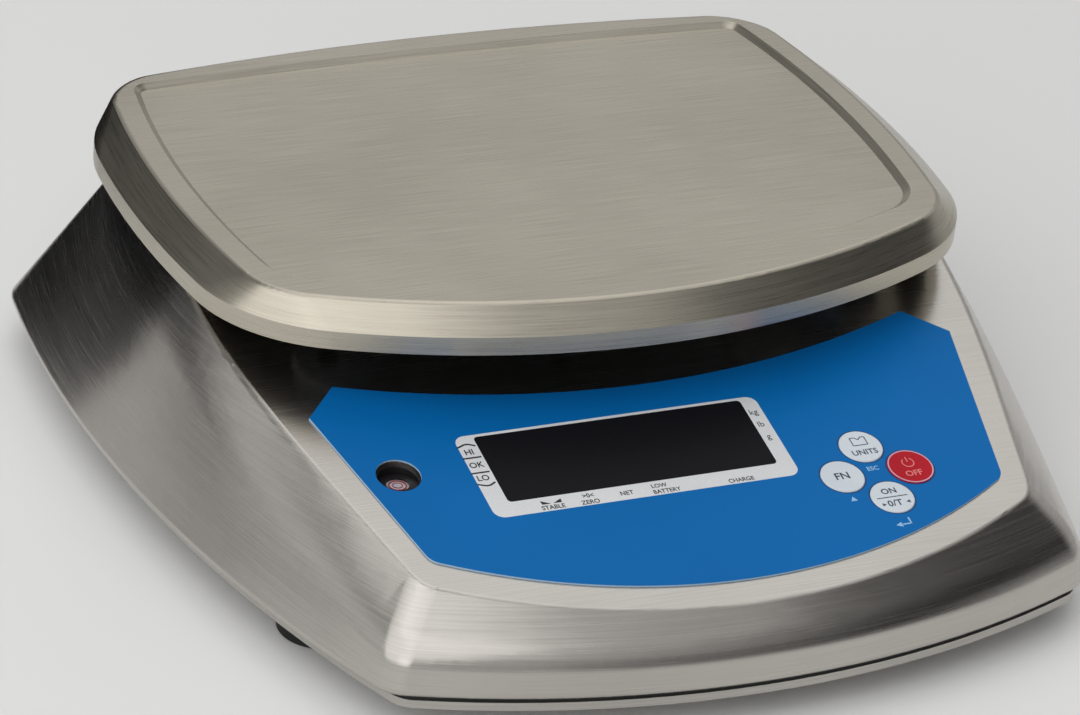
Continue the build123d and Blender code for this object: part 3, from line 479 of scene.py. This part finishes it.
for polygon in cover_shape.polygons:
    is_wall = all(index in wall_normals for index in polygon.vertices)
    for index in polygon.vertices:
        normal = Vector((0, 0, 0))
        if is_wall and polygon.normal.dot(wall_normals[index]) > nearly_same:
            normal = wall_normals[index]
        elif polygon.normal.dot(slope) > quite_flat:
            normal = slope
        elif max(abs(part) for part in polygon.normal) > quite_flat:
            normal = polygon.normal
        corner_normals.append(normal)
cover_shape.normals_split_custom_set(corner_normals)
cover_shape.materials.clear()
cover_shape.materials.append(cover_steel)
cover_shell = bpy.data.objects.new("cover_shell", cover_shape)
scene.collection.objects.link(cover_shell)
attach(cover_shell, "base")
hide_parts("housing_cover")

# Base plate
# A flat stainless sheet, cut, punched for its screws and feet, and left with the mill's dull brushed finish.
# It closes the housing from below and is screwed to the nuts of the cover.
dress(brushed_stainless("stainless_base_plate", "#c2bfb9", "#b0ada7", 0.32, 0.4, 25.0), "base_plate")


# Screws, nuts, studs and spring parts
# Pressed and turned steel with a bright, slightly blue zinc plating. The screws hold the cover, boards, cell
# and battery; the studs and lock nuts carry the feet; the key domes and the boot's clamp are sprung.
def surface_material(
    name, light, dark, metallic, roughness, grain, relief_height, stretch=(1, 1, 1), specular=0.5,
):
    """A material whose grain, given in mm, varies its colour, gloss and height.

    A moulded or printed skin has a grain of 0.02 to 0.1 mm, which is drawn coarser so that it shows.
    """
    broad_size = 16.7
    material = blank_material(name)
    place = add_node(material, "ShaderNodeTexCoord")
    scaled = add_node(material, "ShaderNodeMapping", {"Scale": stretch}, {"Vector": place.outputs["Object"]})
    grains = add_node(material, "ShaderNodeTexNoise", {
        "Scale": 1 / (grain * mm), "Detail": 3.0, "Roughness": 0.6,
    }, {"Vector": scaled.outputs[0]})
    broad = add_node(material, "ShaderNodeTexNoise", {"Scale": 1 / (broad_size * mm), "Detail": 2.0}, {
        "Vector": place.outputs["Object"],
    })
    shade = add_node(material, "ShaderNodeMath", {"operation": "MULTIPLY"}, {
        "i0": grains.outputs["Fac"], "i1": broad.outputs["Fac"],
    })
    tone = add_node(material, "ShaderNodeValToRGB", None, {"Fac": shade.outputs[0]})
    tone.color_ramp.elements[0].position = 0.15
    tone.color_ramp.elements[0].color = colour(dark)
    tone.color_ramp.elements[1].position = 0.38
    tone.color_ramp.elements[1].color = colour(light)
    gloss = add_node(material, "ShaderNodeMapRange", {
        "From Min": 0.3, "From Max": 0.7, "To Min": roughness - 0.04, "To Max": roughness + 0.05,
    }, {"Value": grains.outputs["Fac"]})
    relief = add_node(material, "ShaderNodeBump", {"Strength": 0.3, "Distance": relief_height * mm}, {
        "Height": grains.outputs["Fac"],
    })
    shader = add_node(material, "ShaderNodeBsdfPrincipled", {
        "Metallic": metallic, "Specular IOR Level": specular,
    }, {
        "Base Color": tone.outputs[0], "Roughness": gloss.outputs[0], "Normal": relief.outputs[0],
    })
    add_node(material, "ShaderNodeOutputMaterial", None, {"Surface": shader.outputs[0]})
    return material


dress(
    surface_material("zinc_plated_steel", "#c9cbcd", "#a9acae", 1.0, 0.24, 0.6, 0.01),
    "cover_screws", "cover_nuts", "display_screws", "board_screws", "strap_screws", "cell_bolts", "post_bolts",
    "overload_stop", "stop_nut", "foot_inserts", "battery_terminals", "socket_nut", "key_domes", "boot_clamp",
    "foot_nut_front_left", "foot_nut_front_right", "foot_nut_back_left", "foot_nut_back_right",
    "foot_stud_front_left", "foot_stud_front_right", "foot_stud_back_left", "foot_stud_back_right",
)

# Seal, feet, boot and pads
# Moulded black rubber with a matt, dusty skin: the gasket between the cover and the base plate, the pads on
# the feet, the boot round the post and the pads that the platter rests on.
black_rubber = surface_material(
    "moulded_black_rubber", "#232325", "#161618", 0.0, 0.62, 0.8, 0.02, (1, 1, 1), 0.35,
)
dress(
    black_rubber, "base_seal", "post_boot", "pan_pads",
    "foot_pad_front_left", "foot_pad_front_right", "foot_pad_back_left", "foot_pad_back_right",
)

# Front overlay
# Polyester film, printed blue on its back and glued to the sloped panel. Its face has a satin skin that
# spreads the light evenly, and its cut edge is painted pale as a highlight line.
overlay_top = 0.5
film_texture = 0.4
film_patches = 83.3
panel_normal = (0, -math.sin(panel_tilt), math.cos(panel_tilt))
overlay_film = blank_material("printed_polyester_blue")
film_place = add_node(overlay_film, "ShaderNodeTexCoord")
film_grain = add_node(overlay_film, "ShaderNodeTexNoise", {"Scale": 1 / (film_texture * mm), "Detail": 2.0}, {
    "Vector": film_place.outputs["Object"],
})
film_cloud = add_node(overlay_film, "ShaderNodeTexNoise", {"Scale": 1 / (film_patches * mm), "Detail": 2.0}, {
    "Vector": film_place.outputs["Object"],
})
film_blue = add_node(overlay_film, "ShaderNodeValToRGB", None, {"Fac": film_cloud.outputs["Fac"]})
film_blue.color_ramp.elements[0].position = 0.3
film_blue.color_ramp.elements[0].color = colour("#056cb6")
film_blue.color_ramp.elements[1].position = 0.7
film_blue.color_ramp.elements[1].color = colour("#0872bf")
film_normal = add_node(overlay_film, "ShaderNodeNewGeometry")
film_facing = add_node(overlay_film, "ShaderNodeVectorMath", {"operation": "DOT_PRODUCT", "i1": panel_normal}, {
    "i0": film_normal.outputs["Normal"],
})
# Painted highlight: faces that turn away from the panel, along the film's cut edges, are painted pale blue.
film_edge_highlight = add_node(overlay_film, "ShaderNodeMapRange", {"From Min": 0.5, "From Max": 0.8}, {
    "Value": film_facing.outputs["Value"],
})
film_colour = add_node(overlay_film, "ShaderNodeMix", {"data_type": "RGBA", "i6": colour("#b9d3ea")}, {
    "i0": film_edge_highlight.outputs[0], "i7": film_blue.outputs[0],
})
film_relief = add_node(overlay_film, "ShaderNodeBump", {"Strength": 0.06, "Distance": 0.01 * mm}, {
    "Height": film_grain.outputs["Fac"],
})
film_shader = add_node(overlay_film, "ShaderNodeBsdfPrincipled", {
    "Roughness": 0.45, "Specular IOR Level": 0.08,
}, {"Base Color": film_colour.outputs[2], "Normal": film_relief.outputs[0]})
add_node(overlay_film, "ShaderNodeOutputMaterial", None, {"Surface": film_shader.outputs[0]})
dress(overlay_film, "overlay")


# Print on the overlay
# Screen printed inks, a hair proud of the film: the pale surround of the display and plain function words.
def on_panel(u, v, w):
    """Point of the sloped panel: u to the right, v up the slope and w out of it, in mm."""
    return Vector((
        u,
        panel_front + v * math.cos(panel_tilt) - w * math.sin(panel_tilt),
        panel_front_height + v * math.sin(panel_tilt) + w * math.cos(panel_tilt),
    )) * mm


def rounded_loop(centre_u, centre_v, width, height, radius, steps=6):
    """Outline of a rounded rectangle on the panel."""
    loop = []
    for corner, (side_u, side_v) in enumerate(((1, 1), (-1, 1), (-1, -1), (1, -1))):
        for step in range(steps + 1):
            angle = math.radians(90 * (corner + step / steps))
            loop.append((
                centre_u + side_u * (width / 2 - radius) + radius * math.cos(angle),
                centre_v + side_v * (height / 2 - radius) + radius * math.sin(angle),
            ))
    return loop


def round_loop(centre_u, centre_v, radius, steps=48):
    """Outline of a circle on the panel."""
    turns = [2 * math.pi * step / steps for step in range(steps)]
    return [(centre_u + radius * math.cos(turn), centre_v + radius * math.sin(turn)) for turn in turns]


def printed_plate(name, shapes, low, high, material, body):
    """Thin plates on the panel, each from an outline and, for a ring, an inner outline of as many points."""
    points = []
    faces = []
    for outer, inner in shapes:
        start = len(points)
        count = len(outer)
        loops = [(outer, low), (outer, high)] + ([(inner, high), (inner, low)] if inner else [])
        for loop, level in loops:
            points += [on_panel(u, v, level) for u, v in loop]
        walls = range(len(loops)) if inner else range(1)
        for wall in walls:
            first = start + wall * count
            second = start + (wall + 1) % len(loops) * count
            for step in range(count):
                following = (step + 1) % count
                faces.append((first + step, first + following, second + following, second + step))
        if not inner:
            faces.append(tuple(start + count + step for step in range(count)))
            faces.append(tuple(start + step for step in reversed(range(count))))
    piece = mesh_piece(name, points, faces, material)
    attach(piece, body)
    return piece


def stroke(points, width):
    """Outlines of straight strokes of one width along a line of points."""
    outlines = []
    for (u0, v0), (u1, v1) in zip(points[:-1], points[1:]):
        length = math.hypot(u1 - u0, v1 - v0)
        side_u = -(v1 - v0) / length * width / 2
        side_v = (u1 - u0) / length * width / 2
        outlines.append(([
            (u0 - side_u, v0 - side_v), (u1 - side_u, v1 - side_v),
            (u1 + side_u, v1 + side_v), (u0 + side_u, v0 + side_v),
        ], None))
    return outlines


def printed_word(name, words, u, v, height, level, material, body, stretch=1.0):
    """A printed word, centred on a place of the panel; its letters are as tall as the height says."""
    font_share = 0.7
    boldness = 0 if words.islower() else 0.024
    ink_depth = 0.008
    curve = bpy.data.curves.new(name, "FONT")
    curve.body = words
    curve.align_x = "CENTER"
    curve.align_y = "CENTER"
    curve.size = height * mm / font_share
    curve.offset = boldness * height * mm
    curve.extrude = ink_depth * mm
    curve.resolution_u = 3
    holder = bpy.data.objects.new(name + "_outline", curve)
    scene.collection.objects.link(holder)
    bpy.context.view_layer.update()
    filled = holder.evaluated_get(bpy.context.evaluated_depsgraph_get())
    mesh = bpy.data.meshes.new_from_object(filled)
    bpy.data.objects.remove(holder)
    middle = on_panel(u, v, level)
    for point in mesh.vertices:
        flat = point.co.copy()
        point.co = middle + Vector((
            flat.x * stretch,
            flat.y * math.cos(panel_tilt) - flat.z * math.sin(panel_tilt),
            flat.y * math.sin(panel_tilt) + flat.z * math.cos(panel_tilt),
        ))
    mesh.materials.clear()
    mesh.materials.append(material)
    piece = bpy.data.objects.new(name, mesh)
    scene.collection.objects.link(piece)
    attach(piece, body)
    return piece


def screen_ink(name, light, dark):
    """Screen printed ink, a dry and even layer; its 0.05 mm mesh is drawn as a 0.5 mm grain to show."""
    return surface_material(name, light, dark, 0.0, 0.45, 0.5, 0.004, (1, 1, 1), 0.3)


ink_lift = 0.03
word_lift = 0.045
tab_width = 0.55
arrow_width = 0.45
window_u = -15.6
window_v = 61.05
window_width = 78.0
window_height = 25.7
white_ink = screen_ink("screen_ink_white", "#edeff0", "#e2e4e7")
black_ink = screen_ink("screen_ink_black", "#2a2b2d", "#1c1d1f")
pale_blue_ink = screen_ink("screen_ink_pale_blue", "#a9d6fb", "#93c6f0")
printed_plate("display_surround", [(
    rounded_loop(-16.05, 58.85, 88.1, 31.9, 3.0),
    rounded_loop(window_u, window_v, window_width, window_height, 1.2),
)], overlay_top - 0.02, overlay_top + ink_lift, white_ink, "base")
tab_left = -60.35
tab_right = -55.1
tab_lines = []
for tab_v, peak in ((70.6, 0.95), (66.3, 0.0), (60.45, 0.0), (56.3, -0.95)):
    if peak:
        tab_top = [(-58.0, tab_v + peak), (-56.9, tab_v + peak)]
        tab_lines += stroke([(tab_left, tab_v), *tab_top, (tab_right, tab_v)], tab_width)
    else:
        tab_lines += stroke([(tab_left, tab_v), (tab_right, tab_v)], tab_width)
tab_lines.append(([(-46.3, 46.9), (-46.1, 45.5), (-43.6, 45.5)], None))
tab_lines.append(([(-40.4, 46.9), (-43.0, 45.5), (-40.5, 45.5)], None))
printed_plate(
    "display_marks", tab_lines, overlay_top + ink_lift - 0.01, overlay_top + word_lift,
    black_ink, "base",
)
for name, words, u, v, height in (
    ("word_high", "HI", -57.74, 68.46, 2.0),
    ("word_good", "OK", -57.67, 63.36, 2.0),
    ("word_low", "LO", -57.77, 58.24, 2.0),
    ("word_stable", "STABLE", -43.45, 44.1, 1.5),
    ("word_zero_mark", ">0<", -32.7, 46.4, 1.5),
    ("word_zero", "ZERO", -32.86, 44.0, 1.5),
    ("word_net", "NET", -21.99, 45.3, 1.5),
    ("word_weak", "LOW", -12.3, 46.3, 1.4),
    ("word_battery", "BATTERY", -10.87, 44.1, 1.4),
    ("word_charge", "CHARGE", 10.82, 44.1, 1.4),
    ("word_kilogram", "kg", 25.2, 68.5, 2.1),
    ("word_pound", "lb", 25.3, 63.6, 2.1),
    ("word_gram", "g", 25.4, 58.6, 2.1),
):
    printed_word(name, words, u, v, height, overlay_top + word_lift, black_ink, "base", 0.95)
printed_word("word_escape", "ESC", 48.5, 41.1, 1.5, overlay_top + ink_lift, pale_blue_ink, "base")
printed_plate("key_signs", [
    ([(37.1, 30.2), (39.0, 30.2), (38.05, 31.9)], None),
    ([(45.2, 19.1), (47.0, 18.2), (47.0, 20.0)], None),
] + stroke([(46.8, 19.1), (49.9, 19.1)], arrow_width) + stroke([(49.7, 18.9), (49.7, 21.4)], arrow_width),
    overlay_top - 0.02, overlay_top + ink_lift, pale_blue_ink, "base")

# Display
# A smoked window film, flush with the overlay and calm in the light, over the glossy acrylic lens.
# Under them the digits are cast in dark epoxy, and stand on their own board.
dust_size = 1.11
window_film = blank_material("smoked_window_film")
window_place = add_node(window_film, "ShaderNodeTexCoord")
window_dust = add_node(window_film, "ShaderNodeTexNoise", {"Scale": 1 / (dust_size * mm), "Detail": 3.0}, {
    "Vector": window_place.outputs["Object"],
})
window_gloss = add_node(window_film, "ShaderNodeMapRange", {"To Min": 0.26, "To Max": 0.34}, {
    "Value": window_dust.outputs["Fac"],
})
window_tone = add_node(window_film, "ShaderNodeMix", {
    "data_type": "RGBA", "i6": colour("#16161a"), "i7": colour("#1b1b1f"),
}, {"i0": window_dust.outputs["Fac"]})
window_shader = add_node(window_film, "ShaderNodeBsdfPrincipled", {"Specular IOR Level": 0.05}, {
    "Base Color": window_tone.outputs[2], "Roughness": window_gloss.outputs[0],
})
add_node(window_film, "ShaderNodeOutputMaterial", None, {"Surface": window_shader.outputs[0]})
film_gap = 0.06
printed_plate("window_film", [(
    rounded_loop(window_u, window_v, window_width - film_gap, window_height - film_gap, 1.2), None,
)], 0.02, overlay_top + 0.01, window_film, "base")
dress(surface_material("smoked_acrylic", "#1d1d20", "#151518", 0.0, 0.12, 2.0, 0.002), "display_lens")
dress(surface_material("cast_epoxy_digits", "#2b2b2f", "#1e1e22", 0.0, 0.38, 0.7, 0.01), "display_digits")

# Keys
# Moulded caps with a smooth skin, white with grey legends and one red with pink ones. They stand in round
# holes of the overlay over sprung domes, and each legend moves with its key.
key_top = 0.8
legend_width = 0.3
sign_width = 0.34
legend_ink = screen_ink("screen_ink_slate", "#4d5a66", "#3c4854")
rose_ink = screen_ink("screen_ink_rose", "#eab9cf", "#dda6bf")
coral_ink = screen_ink("screen_ink_coral", "#f7918e", "#ee7f7d")
navy_ink = screen_ink("screen_ink_navy", "#0d3f77", "#0a3466")
dress(
    surface_material("moulded_white_key", "#e4edf4", "#d9e2ea", 0.0, 0.36, 0.5, 0.006),
    "key_units", "key_function", "key_zero",
)
red_key = surface_material("moulded_red_key", "#c81026", "#bb0e22", 0.0, 0.42, 0.5, 0.006, (1, 1, 1), 0.15)
dress(red_key, "key_off")
key_places = {
    "key_units": (48.9, 49.76, 6.06),
    "key_function": (38.74, 39.6, 6.06),
    "key_zero": (48.9, 29.44, 6.06),
    "key_off": (59.06, 39.6, 6.43),
}
printed_plate("key_outlines", [
    (round_loop(u, v, radius + 0.42), round_loop(u, v, radius + 0.14)) for u, v, radius in key_places.values()
], overlay_top - 0.02, overlay_top + 0.02, navy_ink, "base")
printed_plate("off_rim", [(round_loop(59.06, 39.6, 6.33), round_loop(59.06, 39.6, 5.95))],
    key_top - 0.02, key_top + ink_lift, rose_ink, "key_off")
for name, words, u, v, height, ink, body in (
    ("legend_units", "UNITS", 48.98, 47.3, 1.9, legend_ink, "key_units"),
    ("legend_function", "FN", 38.6, 39.6, 2.5, legend_ink, "key_function"),
    ("legend_on", "ON", 48.7, 31.6, 2.0, legend_ink, "key_zero"),
    ("legend_zero", "0/T", 48.5, 26.9, 2.2, legend_ink, "key_zero"),
    ("legend_off", "OFF", 58.9, 36.9, 2.0, coral_ink, "key_off"),
):
    printed_word(name, words, u, v, height, key_top + ink_lift, ink, body)
printed_plate("on_line", stroke([(44.2, 29.4), (53.2, 29.4)], legend_width) + [
    ([(44.8, 26.3), (46.0, 26.9), (44.8, 27.5)], None),
    ([(53.0, 26.3), (53.0, 27.5), (51.8, 26.9)], None),
], key_top - 0.02, key_top + ink_lift, legend_ink, "key_zero")
printed_plate("units_sign", stroke([
    (46.9, 53.2), (46.9, 50.2), (51.2, 50.2), (51.2, 53.2),
    (50.0, 53.2), (49.2, 52.3), (48.2, 53.2), (46.9, 53.2),
], legend_width), key_top - 0.02, key_top + ink_lift, legend_ink, "key_units")
power_u = 59.0
power_v = 41.2
power_radius = 1.65
power_turns = [math.radians(turn) for turn in range(32, 329, 12)]
power_arc = [
    (power_u + power_radius * math.sin(turn), power_v + power_radius * math.cos(turn)) for turn in power_turns
]
power_bar = [(power_u, 41.5), (power_u, 43.3)]
printed_plate("power_sign", stroke(power_arc, sign_width) + stroke(power_bar, sign_width),
    key_top - 0.02, key_top + ink_lift, coral_ink, "key_off")
dress(surface_material("spacer_film", "#d8d8d4", "#c8c8c4", 0.0, 0.5, 0.6, 0.01), "keypad_spacer")

# Bubble level
# A clear, polished acrylic vial with red rings printed on it and a black bezel. It stands upright in a holder
# moulded in black plastic with a satin skin.
black_plastic = surface_material("moulded_black_plastic", "#262526", "#171718", 0.0, 0.42, 0.7, 0.02)
dress(black_plastic, "level_holder")
liquid_size = 3.33
vial_low, vial_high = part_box("level_vial")
vial_centre = (Vector(vial_low) + Vector(vial_high)) / 2


def vial_ring(name, inner, outer, low, high, material):
    """A flat ring on top of the vial."""
    steps = 40
    rings = [(outer, low), (outer, high), (inner, high), (inner, low)]
    points = []
    for radius, level in rings:
        for step in range(steps):
            turn = 2 * math.pi * step / steps
            points.append((
                vial_centre.x + radius * mm * math.cos(turn),
                vial_centre.y + radius * mm * math.sin(turn),
                vial_high[2] + level * mm,
            ))
    faces = []
    for ring in range(4):
        for step in range(steps):
            following = (step + 1) % steps
            first = ring * steps
            second = (ring + 1) % 4 * steps
            faces.append((first + step, first + following, second + following, second + step))
    piece = mesh_piece(name, points, faces, material)
    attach(piece, "base")
    return piece


level_red = surface_material("screen_ink_red", "#b4283c", "#9c2030", 0.0, 0.4, 0.4, 0.004, (1, 1, 1), 0.3)
level_black = surface_material("moulded_black_bezel", "#2a272b", "#1c1a1d", 0.0, 0.3, 0.7, 0.01, (1, 1, 1), 0.4)
vial_ring("level_bezel", 3.1, 5.5, -0.05, 0.35, level_black)
vial_ring("level_ring_outer", 2.15, 2.5, -0.02, 0.06, level_red)
vial_ring("level_ring_inner", 1.15, 1.4, -0.02, 0.06, level_red)
vial_glass = blank_material("acrylic_vial")
vial_place = add_node(vial_glass, "ShaderNodeTexCoord")
vial_cloud = add_node(vial_glass, "ShaderNodeTexNoise", {"Scale": 1 / (liquid_size * mm), "Detail": 2.0}, {
    "Vector": vial_place.outputs["Object"],
})
vial_tone = add_node(vial_glass, "ShaderNodeMix", {
    "data_type": "RGBA", "i6": colour("#cfcbd2"), "i7": colour("#dedbe2"),
}, {"i0": vial_cloud.outputs["Fac"]})
vial_shader = add_node(vial_glass, "ShaderNodeBsdfPrincipled", {
    "Roughness": 0.08, "Transmission Weight": 0.25, "IOR": 1.49,
}, {"Base Color": vial_tone.outputs[2]})
add_node(vial_glass, "ShaderNodeOutputMaterial", None, {"Surface": vial_shader.outputs[0]})
dress(vial_glass, "level_vial")

# Charger socket and its cap
# The socket is moulded in the same black plastic and held by its nut in the bay of the back wall. The rubber
# cap is pushed in and can be pulled out.
dress(black_plastic, "charger_socket")
dress(black_rubber, "socket_cap")

# Boards
# Glass epoxy under a green solder resist, which is glossy and shows the weave faintly, with dark moulded parts.
# They stand on plastic standoffs behind the panel and on the base plate.
green_board = surface_material("solder_resist_board", "#1c6b3c", "#0f4a28", 0.0, 0.35, 4.0, 0.02)
dress(green_board, "main_board", "display_board", "keypad_board")
dress(surface_material("moulded_epoxy_parts", "#2a2a2c", "#1a1a1c", 0.0, 0.48, 0.6, 0.02), "board_parts")
dress(black_plastic, "display_standoffs", "board_standoffs")

# Load cell, post and pan support
# The cell, its seat and the post are milled from aluminium bar, so fine cutter lines run across them. The pan
# support is die cast and greyer, and the strain gauges lie under soft, pale silicone.
milled_aluminium = surface_material("milled_aluminium", "#c7c9cb", "#b0b3b6", 1.0, 0.30, 0.5, 0.01, (1, 12, 12))
dress(milled_aluminium, "load_cell", "load_post", "cell_seat")
dress(surface_material("die_cast_aluminium", "#a9abae", "#8f9194", 1.0, 0.45, 1.2, 0.05), "pan_support")
dress(surface_material("silicone_sealant", "#cfcfc6", "#bdbdb4", 0.0, 0.5, 1.5, 0.05), "gauge_potting")

# Battery and its strap
# A lead battery in a black ABS case with a fine moulded grain, held down by a strap of rolled steel, which
# shows the lines of the rolls.
dress(surface_material("battery_case_abs", "#2d2d31", "#1f1f23", 0.0, 0.5, 0.8, 0.03), "battery")
rolled_steel = surface_material("rolled_steel_strap", "#b9babc", "#9d9fa1", 1.0, 0.34, 0.6, 0.01, (1, 10, 1))
dress(rolled_steel, "battery_strap")

# Cables
# Dark grey, soft PVC jackets with a dull shine, from the cell, the display and the battery to the main board.
cable_jacket = surface_material("pvc_cable_jacket", "#4a4a4d", "#38383b", 0.0, 0.5, 0.7, 0.02)
dress(cable_jacket, "cell_cable", "display_ribbon", "battery_leads")

scene.view_settings.view_transform = "Standard"
